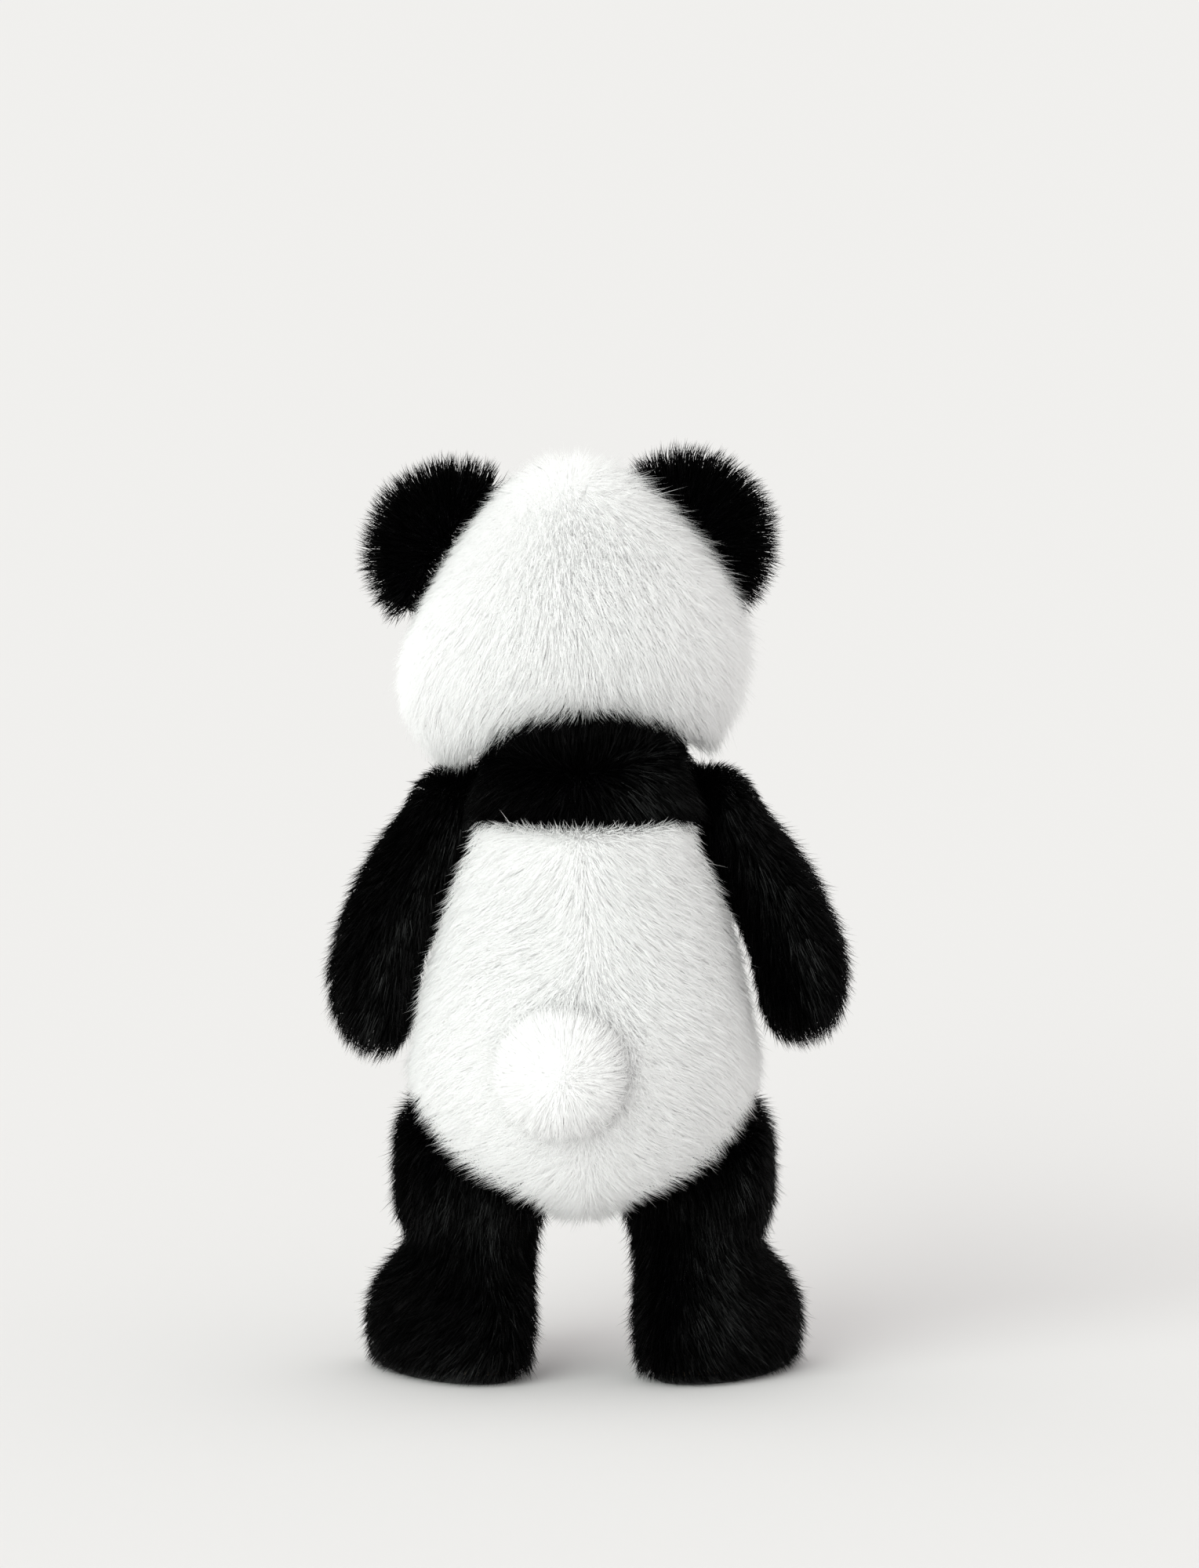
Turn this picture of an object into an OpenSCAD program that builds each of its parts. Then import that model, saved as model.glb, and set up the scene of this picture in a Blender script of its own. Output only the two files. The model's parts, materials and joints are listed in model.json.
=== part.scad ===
// A standing soft toy panda, sewn from long pile fabric in shaped panels and
// stuffed with fibre. It faces -Y, its left side is +X and it stands on Z = 0.
// The neck, both shoulders and both hips turn; everything else is sewn fast.

/* [Torso] */
// Width across the belly
torso_w = 106; // [96:1:112]
// Depth from belly to back
torso_d = 92; // [84:1:96]
// Height of the torso's lowest point above the floor
torso_base_z = 58; // [56:1:60]
// Radius of the round shoulder dome that the head turns on
dome_r = 47; // [45:0.5:48]
// Height of the centre of the shoulder dome
dome_z = 176.5; // [174:0.5:180]
// Height of the seam between the white panels and the black yoke
yoke_z = 183; // [178:1:188]

/* [Head] */
// Width across the cheeks
head_w = 104; // [98:1:108]
// Depth from forehead to the back of the head
head_d = 92; // [88:1:96]
// Angle that the head is turned to the toy's left
head_turn = 4; // [0:1:12]
// Angle that the head is bent forward
head_nod = 6; // [0:0.5:8]
// Angle that the head leans to the toy's left
head_lean = 2.2; // [0:0.1:4]
// Radius of the rounded muzzle
muzzle_r = 19; // [17:0.5:20]
// Radius of the outline of each ear
ear_r = 22; // [20:0.5:24]
// Thickness of each ear
ear_t = 11; // [9:0.5:12]

/* [Arms] */
// Distance of each shoulder pivot from the middle
shoulder_x = 40; // [39:0.5:42]
// Height of the shoulder pivots
shoulder_z = 183; // [181:0.5:185]
// Radius of the round top of each arm
shoulder_r = 17; // [15:0.5:18]
// Height of the tip of the left paw
paw_left_z = 107; // [104:0.5:112]
// Height of the tip of the right paw
paw_right_z = 111; // [106:0.5:114]

/* [Legs] */
// Distance of each hip pivot from the middle
hip_x = 36; // [35:0.5:38]
// Height of the hip pivots
hip_z = 68; // [66:0.5:70]
// Radius of the round top of each leg
hip_r = 23.5; // [22:0.5:24]
// Width of each leg at the hip
thigh_w = 44; // [40:1:45]
// Angle that each foot is turned out
toe_out = 40; // [30:1:45]

/* [Fabric and filling] */
// Thickness of the backing with its dense pile
skin_t = 5; // [4:0.5:6]
// Gap between a limb and the panels it turns against
joint_gap = 1; // [0.8:0.1:1.4]

/* [Hidden] */

LEFT = 1;
RIGHT = -1;
white_fur = [0.95, 0.95, 0.94];
black_fur = [0.06, 0.06, 0.07];
black_gloss = [0.03, 0.03, 0.03];
fibre = [0.9, 0.9, 0.86];
calico = [0.82, 0.78, 0.68];
board = [0.62, 0.5, 0.36];
clear_plastic = [0.8, 0.82, 0.84];

slab_t = 0.05;       // thickness of the thin level slabs that forms are lofted between
fill_gap = 0.55;     // gap between a skin and its filling
fill_fn = 14;        // sides of the fillings
form_fn = 24;        // sides of the torso and head
limb_fn = 16;        // sides of the arms and legs
far = 200;           // larger than the toy, for cutting solids

// Sections are [height, half width, half depth, y centre, x centre, turn].
// The dome's sections lie just inside its sphere.
function dome_section(z) =
    let (r = sqrt(dome_r * dome_r - (z - dome_z) * (z - dome_z)) - 0.1)
    [z, r, r, 0, 0, 0];

torso_hw = torso_w / 2;
torso_hd = torso_d / 2;
// Torso sections as [height above the base, share of width, share of depth, y centre]
TORSO = concat(
    [for (s = [
        [0, 0.23, 0.23, 1], [4, 0.5, 0.5, 1.5], [11, 0.7, 0.7, 2], [21, 0.86, 0.86, 2],
        [33, 0.96, 0.96, 2], [46, 1, 1, 2], [63, 0.98, 0.99, 2], [82, 0.91, 0.94, 1.5],
        [104, 0.85, 0.91, 1], [127, 0.84, 0.93, 0]
    ]) [torso_base_z + s[0], torso_hw * s[1], torso_hd * s[2], s[3], 0, 0]],
    [for (z = [20.5, 30, 38, 44.5]) dome_section(dome_z + z)]
);

head_hw = head_w / 2;
head_hd = head_d / 2;
head_base_z = 196;
head_mid_x = 1.3;    // the stuffing leaves the head a little fuller on its left
// Head sections as [height above the base, share of width, share of depth, y centre]
HEAD = [for (s = [
    [0, 0.34, 0.32, -3], [3, 0.54, 0.52, -3], [7, 0.73, 0.68, -4], [14, 0.88, 0.79, -4],
    [24, 0.98, 0.92, -5], [38, 1.01, 1, -5], [54, 0.93, 0.96, -4], [68, 0.76, 0.82, -3],
    [80, 0.58, 0.63, -2], [88.5, 0.4, 0.44, -1], [93, 0.2, 0.22, -0.5], [94.5, 0.08, 0.09, -0.5]
]) [head_base_z + s[0], head_hw * s[1], head_hd * s[2], s[3], head_mid_x, 0]];
head_split_y = -2;   // seam between the back panels and the face
gusset_hw = 17;      // half width of the crown and chin gussets
chin_z = 213;        // top of the chin gusset

muzzle_y = -46;
muzzle_z = 223;
nose_rise = 25;      // how far above level the nose points
nose_out = 17.6;     // distance of the nose's flat back from the middle of the muzzle
// Centre of an eye and its patch on the face
eye_x = 20;
eye_z = 240;
eye_y = -47.5;
eye_r = 5.5;
stem_r = 2;
stem_len = 13.4;
washer_r = 7;
washer_t = 1.6;

// Middle of the base of an ear, and how far it stands out from the vertical
ear_x = 36.5;
ear_y = -4;
ear_z = 266.5;
ear_lean = 53;
ear_root = 9;        // depth that an ear's outline runs on below its base line
ear_skin_t = 3;

tail_r = 17.5;
tail_at = [7, 55, 107];

// Arm sections as [share of the way down, half width, half depth, y centre, x centre]
ARM_PROFILE = [
    [0, 14.5, 15.5, 2, 42.5], [0.12, 16, 16.5, 2, 46.5], [0.28, 16.5, 16.5, 1.5, 54],
    [0.45, 16.3, 16, 0.5, 59.5], [0.65, 15.2, 16, -1.5, 64.8], [0.83, 13.8, 15.5, -3, 65.2],
    [0.94, 11, 13, -4, 64], [1, 6, 7, -4, 63]
];
function arm_sections(tip_z, spread) = [
    for (s = ARM_PROFILE)
        [shoulder_z - s[0] * (shoulder_z - tip_z), s[1], s[2], s[3], s[4] + spread * s[0], 0]
];
ARM_LEFT = arm_sections(paw_left_z, 0);
ARM_RIGHT = arm_sections(paw_right_z, 3.5);
shoulder_y = 2;
arm_split_lean = 22; // lean of the plane between an arm's outer and inner panels

hip_y = -8;
hip_swing = [-20, 75]; // how far a leg swings back and forward
sole_t = 2.5;
board_t = 1.5;
pellet_z = 20;       // top of the pellets in a foot
seat_z = 76;         // top of the pellets in the seat
foot_x = 43;
foot_y = -12;
LEG = [
    [sole_t, 17.5, 29.5, foot_y, foot_x, toe_out], [7, 19.5, 32, foot_y, foot_x, toe_out],
    [18, 20.5, 33, foot_y, foot_x, toe_out], [30, 19.5, 29, foot_y + 1.5, 41, toe_out],
    [38, 19, 23, foot_y + 3, 37.5, toe_out], [49, 18.5, 20, hip_y, 34.5, 0],
    [58, 20.5, 21.5, hip_y, 35.5, 0], [68, 21, 22, hip_y, hip_x, 0]
];

// ---- Shared shapes ----

module slab(s, fn) {
    translate([s[4], s[3], s[0]]) rotate(s[5])
        linear_extrude(slab_t) scale([s[1], s[2]]) circle(1, $fn = fn);
}

module loft(sections, fn) {
    for (i = [0 : len(sections) - 2])
        hull() {
            slab(sections[i], fn);
            slab(sections[i + 1], fn);
        }
}

// The sections of the same form, t smaller all round
function inset(sections, t) =
    let (
        low = sections[0][0],
        high = sections[len(sections) - 1][0],
        mid = (low + high) / 2,
        k = 1 - 2 * t / abs(high - low)
    )
    [for (s = sections)
        [mid + (s[0] - mid) * k, max(s[1] - t, 1.5), max(s[2] - t, 1.5), s[3], s[4], s[5]]];

// The space on one side of a level plane: side 1 keeps what is above z
module above(z) {
    translate([-far, -far, z]) cube([2 * far, 2 * far, far * 2]);
}

module below(z) {
    translate([-far, -far, z - 2 * far]) cube([2 * far, 2 * far, far * 2]);
}

module behind(y) {
    translate([-far, y, -far]) cube([2 * far, 2 * far, 3 * far]);
}

module before(y) {
    translate([-far, y - 2 * far, -far]) cube([2 * far, 2 * far, 3 * far]);
}

// Everything beyond x on the given side
module beside(x, side) {
    translate([side == LEFT ? x : x - 2 * far, -far, -far]) cube([2 * far, 2 * far, 3 * far]);
}

module on_side(side) {
    if (side == LEFT) children();
    else mirror([1, 0, 0]) children();
}

// ---- Head ----

// Puts what is drawn facing straight ahead at the head's resting turn, lean and nod
module at_head() {
    translate([0, 0, dome_z]) rotate([0, 0, head_turn]) rotate([head_nod, head_lean, 0])
        translate([0, 0, -dome_z]) children();
}

module head_form(t, fn = form_fn) {
    difference() {
        loft(inset(HEAD, t), fn);
        translate([0, 0, dome_z]) sphere(dome_r + joint_gap + t, $fn = 36);
    }
}

module eye_places() {
    for (side = [LEFT, RIGHT]) on_side(side) at_eye() children();
}

// Moves to an eye, with +Z pointing out of the face
module at_eye() {
    translate([eye_x, eye_y, eye_z]) rotate([0, 0, 22]) rotate([82, 0, 0]) children();
}

// Moves to the nose, with +Z pointing out of the muzzle
module at_nose() {
    translate([0, muzzle_y, muzzle_z]) rotate([90 - nose_rise, 0, 0])
        translate([0, 0, nose_out]) children();
}

module stem_holes(r) {
    eye_places() translate([0, 0, -stem_len - 2]) cylinder(h = stem_len + 5, r = r, $fn = 24);
    at_nose() translate([0, 0, -3 * stem_len]) cylinder(h = 3 * stem_len + 2, r = r, $fn = 24);
}

module muzzle_form(t) {
    translate([0, muzzle_y, muzzle_z]) scale([1.18, 0.95, 0.86]) sphere(muzzle_r - t, $fn = 24);
}

module head_skin() {
    difference() {
        head_form(0);
        head_form(skin_t);
        muzzle_form(0.6 * skin_t);
        stem_holes(stem_r + 0.4);
    }
}

module head_back(side) {
    color(white_fur) at_head() intersection() {
        head_skin();
        behind(head_split_y);
        beside(0, side);
    }
}

module head_side(side) {
    color(white_fur) at_head() intersection() {
        head_skin();
        before(head_split_y);
        beside(side * gusset_hw, side);
    }
}

module head_gusset() {
    intersection() {
        head_skin();
        before(head_split_y);
        beside(-gusset_hw, LEFT);
        beside(gusset_hw, RIGHT);
    }
}

module head_crown() {
    color(white_fur) at_head() intersection() {
        head_gusset();
        above(chin_z);
    }
}

module head_chin() {
    color(white_fur) at_head() intersection() {
        head_gusset();
        below(chin_z);
    }
}

module muzzle() {
    color(white_fur) at_head() difference() {
        muzzle_form(0);
        muzzle_form(0.6 * skin_t);
        loft(HEAD, form_fn);
        at_nose() translate([0, 0, -stem_len]) cylinder(h = stem_len + 4, r = stem_r + 0.4, $fn = 24);
    }
}

module head_stuffing() {
    color(fibre) at_head() difference() {
        union() {
            head_form(skin_t + fill_gap, fill_fn);
            muzzle_form(0.6 * skin_t + fill_gap);
        }
        eye_places() translate([0, 0, -2 * stem_len])
            cylinder(h = 3 * stem_len, r = washer_r + 0.5, $fn = 24);
        at_nose() translate([0, 0, -stem_len - 1])
            cylinder(h = 2 * stem_len, r = washer_r + 0.5, $fn = 24);
    }
}

// A patch of black pile sewn on round an eye
module eye_patch(side) {
    color(black_fur) at_head() difference() {
        intersection() {
            loft(inset(HEAD, -3), form_fn);
            on_side(side) translate([eye_x + 1.5, eye_y + 14, eye_z - 2]) rotate([90, 0, 0])
                linear_extrude(3 * skin_t) rotate(-28) scale([0.76, 1]) circle(14.5, $fn = 28);
        }
        loft(inset(HEAD, -0.2), form_fn);
        muzzle_form(-0.3);
        stem_holes(stem_r + 0.4);
    }
}

// A glossy button on a stem, pushed through the fabric from the front
module button(dome, height, stem) {
    rotate_extrude($fn = 48) intersection() {
        translate([0, 0.8]) scale([1, height / dome]) circle(dome);
        translate([0, 0.8]) square([dome, height]);
    }
    cylinder(h = 0.85, r = dome, $fn = 48);
    translate([0, 0, -stem]) cylinder(h = stem + 0.1, r = stem_r, $fn = 32);
}

module washer() {
    difference() {
        cylinder(h = washer_t, r = washer_r, $fn = 48);
        translate([0, 0, -1]) cylinder(h = washer_t + 2, r = stem_r - 0.1, $fn = 32);
    }
}

eye_lift = 3.4;      // height of an eye's flat back above the point it is placed from
module eye(side) {
    color(black_gloss) at_head() on_side(side) at_eye() translate([0, 0, eye_lift])
        button(eye_r, 3.6, stem_len);
}

module eye_washer(side) {
    color(clear_plastic) at_head() on_side(side) at_eye()
        translate([0, 0, eye_lift - stem_len + 0.6]) washer();
}

nose_r = 7.5;
module nose() {
    color(black_gloss) at_head() at_nose() button(nose_r, 5, stem_len);
}

module nose_washer() {
    color(clear_plastic) at_head() at_nose() translate([0, 0, 0.6 - stem_len]) washer();
}

// Three stitches of thick thread: one down from the nose and one to each side
thread_r = 0.7;
smile_r = 6;
smile_tilt = 38;     // the side stitches slope back with the muzzle
module mouth_stitching() {
    color(black_fur) at_head() translate([0, muzzle_y - 0.9 * muzzle_r, muzzle_z - 6]) {
        cylinder(h = 6, r = thread_r, $fn = 24);
        for (side = [LEFT, RIGHT])
            rotate([smile_tilt, 0, 0]) translate([side * smile_r, 0, 0]) rotate([90, 0, 0])
                rotate(side == LEFT ? 180 : 270) rotate_extrude(angle = 90, $fn = 48)
                    translate([smile_r, 0]) circle(thread_r, $fn = 24);
    }
}

module ear_pad(side, grow) {
    on_side(side) translate([ear_x, ear_y, ear_z]) rotate([0, ear_lean, 0]) hull() {
        for (a = [0 : 30 : 180])
            translate([ear_r * cos(a), 0, ear_r * sin(a)]) sphere(ear_t / 2 + grow, $fn = 12);
        for (x = [-1, 1])
            translate([x * ear_r, 0, -ear_root]) sphere(ear_t / 2 + grow, $fn = 12);
    }
}

module ear_skin(side) {
    color(black_fur) at_head() intersection() {
        difference() {
            ear_pad(side, 0);
            ear_pad(side, -ear_skin_t);
            loft(inset(HEAD, -0.2), form_fn);
        }
        children();
    }
}

module ear_wadding(side) {
    color(fibre) at_head() difference() {
        ear_pad(side, -ear_skin_t - fill_gap);
        loft(inset(HEAD, -0.2), form_fn);
    }
}

// ---- Torso and tail ----

// The room that an arm sweeps as it turns: its inner outline turned about the shoulder pivot
module shoulder_room(arm, gap) {
    ball = shoulder_r + gap;
    translate([0, shoulder_y, shoulder_z]) rotate([0, 90, 0]) rotate_extrude($fn = 28)
        polygon(concat(
            [for (a = [-90 : 20 : -30]) [ball * cos(a), shoulder_x + ball * sin(a)]],
            [for (s = arm) if (shoulder_z - s[0] > ball)
                [shoulder_z - s[0], s[4] - s[1] - gap]],
            [[far / 2, arm[5][4] - arm[5][1] - gap], [far / 2, far], [0, far]]
        ));
}

// The drum at the top of a leg, turned about the hip pivot
module thigh_drum(gap) {
    edge = 11;
    half = thigh_w / 2 + gap;
    r = hip_r + gap;
    translate([hip_x, hip_y, hip_z]) rotate([0, 90, 0]) rotate_extrude($fn = 24)
        polygon(concat(
            [[0, -half]],
            [for (a = [-90 : 30 : 0]) [r - edge + edge * cos(a), -half + edge + edge * sin(a)]],
            [for (a = [0 : 30 : 90]) [r - edge + edge * cos(a), half - edge + edge * sin(a)]],
            [[0, half]]
        ));
}

// The room that a leg needs in front of and under the belly as it swings
module hip_room(gap) {
    thigh_drum(gap);
    translate([hip_x - thigh_w / 2 - gap, hip_y, hip_z]) rotate([90, 0, 90])
        linear_extrude(thigh_w + 2 * gap) hull() {
            circle(hip_r + gap, $fn = 24);
            for (a = hip_swing)
                rotate(-90 - a) translate([far / 2, 0]) circle(hip_r + gap, $fn = 24);
        }
}

module limb_rooms(gap) {
    shoulder_room(ARM_LEFT, gap);
    mirror([1, 0, 0]) shoulder_room(ARM_RIGHT, gap);
    for (side = [LEFT, RIGHT]) on_side(side) hip_room(gap);
}

module torso_skin() {
    difference() {
        loft(TORSO, form_fn);
        loft(inset(TORSO, skin_t), form_fn);
        limb_rooms(joint_gap);
    }
}

side_seam_y = 0;     // seam between the front and the back of the torso

module yoke_back() {
    color(black_fur) intersection() {
        torso_skin();
        above(yoke_z);
        behind(side_seam_y);
    }
}

module yoke_front() {
    color(black_fur) intersection() {
        torso_skin();
        above(yoke_z);
        before(side_seam_y);
    }
}

module back_panel(side) {
    color(white_fur) intersection() {
        torso_skin();
        below(yoke_z);
        behind(side_seam_y);
        beside(0, side);
    }
}

module belly_panel(side) {
    color(white_fur) intersection() {
        torso_skin();
        below(yoke_z);
        before(side_seam_y);
        beside(0, side);
    }
}

module torso_filling() {
    difference() {
        loft(inset(TORSO, skin_t + fill_gap), form_fn);
        limb_rooms(joint_gap + fill_gap);
    }
}

module torso_stuffing() {
    color(fibre) intersection() {
        torso_filling();
        above(seat_z + fill_gap);
    }
}

module seat_pellet_bag() {
    color(calico) intersection() {
        torso_filling();
        below(seat_z);
    }
}

module tail_skin() {
    color(white_fur) difference() {
        translate(tail_at) sphere(tail_r, $fn = 20);
        translate(tail_at) sphere(tail_r - skin_t, $fn = 20);
        loft(inset(TORSO, -0.2), form_fn);
    }
}

module tail_stuffing() {
    color(fibre) difference() {
        translate(tail_at) sphere(tail_r - skin_t - fill_gap, $fn = 18);
        loft(inset(TORSO, -0.2), form_fn);
    }
}

// ---- Arms ----

module arm_form(arm, t, fn = limb_fn) {
    translate([shoulder_x, shoulder_y, shoulder_z]) sphere(shoulder_r - t, $fn = 18);
    loft(inset(arm, t), fn);
}

// The half of space outside an arm's middle plane, or inside it
module arm_half(outer) {
    translate([shoulder_x, 0, shoulder_z]) rotate([0, -arm_split_lean, 0])
        beside(0, outer ? LEFT : RIGHT);
}

module arm_panel(side, outer) {
    arm = side == LEFT ? ARM_LEFT : ARM_RIGHT;
    color(black_fur) on_side(side) intersection() {
        difference() {
            arm_form(arm, 0);
            arm_form(arm, skin_t);
        }
        arm_half(outer);
    }
}

module arm_stuffing(side) {
    arm = side == LEFT ? ARM_LEFT : ARM_RIGHT;
    color(fibre) on_side(side) arm_form(arm, skin_t + fill_gap, fill_fn);
}

// ---- Legs ----

module leg_form(t, fn = limb_fn) {
    thigh_drum(-t);
    loft([for (s = LEG) [s[0], s[1] - t, s[2] - t, s[3], s[4], s[5]]], fn);
}

// The half of space outside a leg's middle plane, or inside it
module leg_half(outer) {
    translate([hip_x, hip_y, 0]) rotate(toe_out / 2) beside(0, outer ? LEFT : RIGHT);
}

module leg_panel(side, outer) {
    color(black_fur) on_side(side) intersection() {
        difference() {
            leg_form(0);
            leg_form(skin_t);
        }
        leg_half(outer);
    }
}

board_top_z = sole_t + board_t;

module leg_stuffing(side) {
    color(fibre) on_side(side) intersection() {
        leg_form(skin_t + fill_gap, fill_fn);
        above(pellet_z + fill_gap);
    }
}

module leg_pellet_bag(side) {
    color(calico) on_side(side) intersection() {
        leg_form(skin_t + fill_gap, fill_fn);
        above(board_top_z + fill_gap);
        below(pellet_z);
    }
}

module sole_outline(t) {
    translate([foot_x, foot_y]) rotate(toe_out)
        polygon([for (a = [0 : 9 : 351]) [(LEG[0][1] - t) * cos(a), (LEG[0][2] - t) * sin(a)]]);
}

module leg_sole_board(side) {
    color(board) on_side(side) translate([0, 0, sole_t + 0.1])
        linear_extrude(board_t) sole_outline(skin_t + 0.6);
}

module leg_sole(side) {
    color(black_fur) on_side(side) linear_extrude(sole_t) sole_outline(0);
}

// ---- Assembly ----

head_back(LEFT);  // head_back_left
head_back(RIGHT);  // head_back_right
head_side(LEFT);  // head_side_left
head_side(RIGHT);  // head_side_right
head_crown();
head_chin();
muzzle();
eye_patch(LEFT);  // eye_patch_left
eye_patch(RIGHT);  // eye_patch_right
eye(LEFT);  // eye_left
eye(RIGHT);  // eye_right
eye_washer(LEFT);  // eye_washer_left
eye_washer(RIGHT);  // eye_washer_right
nose();
nose_washer();
mouth_stitching();
ear_skin(LEFT) behind(ear_y);  // ear_left_back
ear_skin(LEFT) before(ear_y);  // ear_left_front
ear_wadding(LEFT);  // ear_left_wadding
ear_skin(RIGHT) behind(ear_y);  // ear_right_back
ear_skin(RIGHT) before(ear_y);  // ear_right_front
ear_wadding(RIGHT);  // ear_right_wadding
head_stuffing();
yoke_back();
yoke_front();
back_panel(LEFT);  // back_panel_left
back_panel(RIGHT);  // back_panel_right
belly_panel(LEFT);  // belly_panel_left
belly_panel(RIGHT);  // belly_panel_right
torso_stuffing();
seat_pellet_bag();
tail_skin();
tail_stuffing();
arm_panel(LEFT, true);  // arm_left_outer
arm_panel(LEFT, false);  // arm_left_inner
arm_stuffing(LEFT);  // arm_left_stuffing
arm_panel(RIGHT, true);  // arm_right_outer
arm_panel(RIGHT, false);  // arm_right_inner
arm_stuffing(RIGHT);  // arm_right_stuffing
leg_panel(LEFT, true);  // leg_left_outer
leg_panel(LEFT, false);  // leg_left_inner
leg_stuffing(LEFT);  // leg_left_stuffing
leg_pellet_bag(LEFT);  // leg_left_pellet_bag
leg_sole_board(LEFT);  // leg_left_sole_board
leg_sole(LEFT);  // leg_left_sole
leg_panel(RIGHT, true);  // leg_right_outer
leg_panel(RIGHT, false);  // leg_right_inner
leg_stuffing(RIGHT);  // leg_right_stuffing
leg_pellet_bag(RIGHT);  // leg_right_pellet_bag
leg_sole_board(RIGHT);  // leg_right_sole_board
leg_sole(RIGHT);  // leg_right_sole
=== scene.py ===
"""Studio scene of the plush panda: stuffed panels with real strands of pile, buttons and stitching."""

import json
import math

import bmesh
import bpy
import numpy as np
from mathutils import Matrix, Vector, kdtree
from mathutils.bvhtree import BVHTree


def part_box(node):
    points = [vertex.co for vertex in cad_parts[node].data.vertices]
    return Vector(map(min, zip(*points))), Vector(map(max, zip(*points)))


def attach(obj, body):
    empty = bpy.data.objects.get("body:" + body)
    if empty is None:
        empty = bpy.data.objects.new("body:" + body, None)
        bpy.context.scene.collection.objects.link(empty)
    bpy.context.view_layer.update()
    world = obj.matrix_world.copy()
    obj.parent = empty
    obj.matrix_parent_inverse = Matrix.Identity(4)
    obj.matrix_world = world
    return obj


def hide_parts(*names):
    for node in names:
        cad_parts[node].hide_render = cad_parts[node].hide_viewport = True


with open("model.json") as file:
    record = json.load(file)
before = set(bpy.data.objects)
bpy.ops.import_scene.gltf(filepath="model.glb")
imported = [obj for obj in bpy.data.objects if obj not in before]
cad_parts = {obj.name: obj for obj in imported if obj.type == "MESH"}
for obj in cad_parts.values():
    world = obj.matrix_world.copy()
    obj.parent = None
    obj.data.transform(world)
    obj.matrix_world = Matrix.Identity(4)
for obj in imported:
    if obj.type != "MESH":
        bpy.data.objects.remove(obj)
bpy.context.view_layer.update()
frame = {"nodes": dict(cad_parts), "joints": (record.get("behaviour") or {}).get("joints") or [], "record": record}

MM = 0.001
NODES = frame["nodes"]
BODIES = frame["record"]["behaviour"]["bodies"]
JOINT_AT = {j["name"]: Vector(j["pos_m"]) for j in frame["joints"]}

# How the toy is posed and cut, as the CAD has it
HEAD_TURN = math.radians(4)
HEAD_LEAN = math.radians(2.2)
HEAD_NOD = math.radians(6)
HEAD_SPLIT_Y = -2 * MM
GUSSET_HALF = 17 * MM
CHIN_Z = 213 * MM
EAR_Y = -4 * MM
EAR_BASE = Vector((36.5, -4, 266.5)) * MM
ARM_SPLIT_LEAN = math.radians(22)
LEG_SPLIT_TURN = math.radians(20)
MUZZLE_AT = Vector((0, -46, 223)) * MM
MUZZLE_RADII = Vector((22.4, 18, 16.3)) * MM
EYE_AT = Vector((20, -47.5, 240)) * MM
TAIL_AT = Vector((7, 55, 107)) * MM
TAIL_R = 17.5 * MM

NECK = JOINT_AT["neck_turn"]
HEAD = (
    Matrix.Translation(NECK)
    @ Matrix.Rotation(HEAD_TURN, 4, "Z")
    @ Matrix.Rotation(HEAD_LEAN, 4, "Y")
    @ Matrix.Rotation(HEAD_NOD, 4, "X")
    @ Matrix.Translation(-NECK)
)
HEAD_BACK = HEAD.inverted()
WORLD = Matrix.Identity(4)

BACKING_DEPTH = 4.6 * MM  # how far the woven backing lies under the dense pile
EAR_BACKING_DEPTH = 2.6 * MM
BACKING_THICK = 0.8 * MM
FILL_GAP = 0.4 * MM


# ---- Camera, light and floor ----

FRAME_H = 0.4958  # height of the view at the toy
AIM = Vector((-0.0049, 0.0, 0.1914))
CAMERA_UP = math.radians(7)
CAMERA_AWAY = 2.4
SENSOR_H = 24


def make_camera():
    data = bpy.data.cameras.new("camera")
    data.sensor_fit = "VERTICAL"
    data.sensor_height = SENSOR_H
    data.lens = SENSOR_H * CAMERA_AWAY / FRAME_H
    data.clip_end = 50
    camera = bpy.data.objects.new("camera", data)
    bpy.context.scene.collection.objects.link(camera)
    away = Vector((0, math.cos(CAMERA_UP), math.sin(CAMERA_UP)))
    camera.location = AIM + away * CAMERA_AWAY
    camera.rotation_euler = (-away).to_track_quat("-Z", "Y").to_euler()
    bpy.context.scene.camera = camera


PAPER = (0.863, 0.855, 0.838)  # how bright and what tint the studio is seen as
KEY_ON_FLOOR = (0.184, 0.194, 0.186)  # how much of that the lamp gives where nothing shades it
KEY_UP = math.radians(20)
KEY_GAIN = 1.06  # makes up for the rim of so wide a lamp
KEY_ROUND = math.radians(54)  # from the toy's left, towards its back
KEY_WIDE = math.radians(50)  # so wide a lamp gives soft shadows
BOUNCES = 24  # light passes through many pale strands before it gets out


def make_studio():
    """A white tent and one large soft lamp, set so that the open floor looks as bright as the tent."""
    scene = bpy.context.scene
    scene.view_settings.view_transform = "Standard"
    scene.cycles.max_bounces = BOUNCES
    scene.cycles.diffuse_bounces = BOUNCES
    scene.cycles.glossy_bounces = 3
    scene.cycles.caustics_reflective = False
    scene.cycles.caustics_refractive = False
    world = bpy.data.worlds.new("studio")
    scene.world = world
    world.use_nodes = True
    tent = world.node_tree.nodes["Background"]
    tent.inputs["Color"].default_value = (*PAPER, 1)
    key = bpy.data.lights.new("key", "SUN")
    key.angle = KEY_WIDE
    key.energy = KEY_GAIN * math.pi / math.sin(KEY_UP)
    key.color = [lit * paper / (paper - lit) for lit, paper in zip(KEY_ON_FLOOR, PAPER)]
    lamp = bpy.data.objects.new("key", key)
    scene.collection.objects.link(lamp)
    level = math.cos(KEY_UP)
    to_key = Vector((level * math.cos(KEY_ROUND), level * math.sin(KEY_ROUND), math.sin(KEY_UP)))
    lamp.rotation_euler = to_key.to_track_quat("Z", "Y").to_euler()


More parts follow.
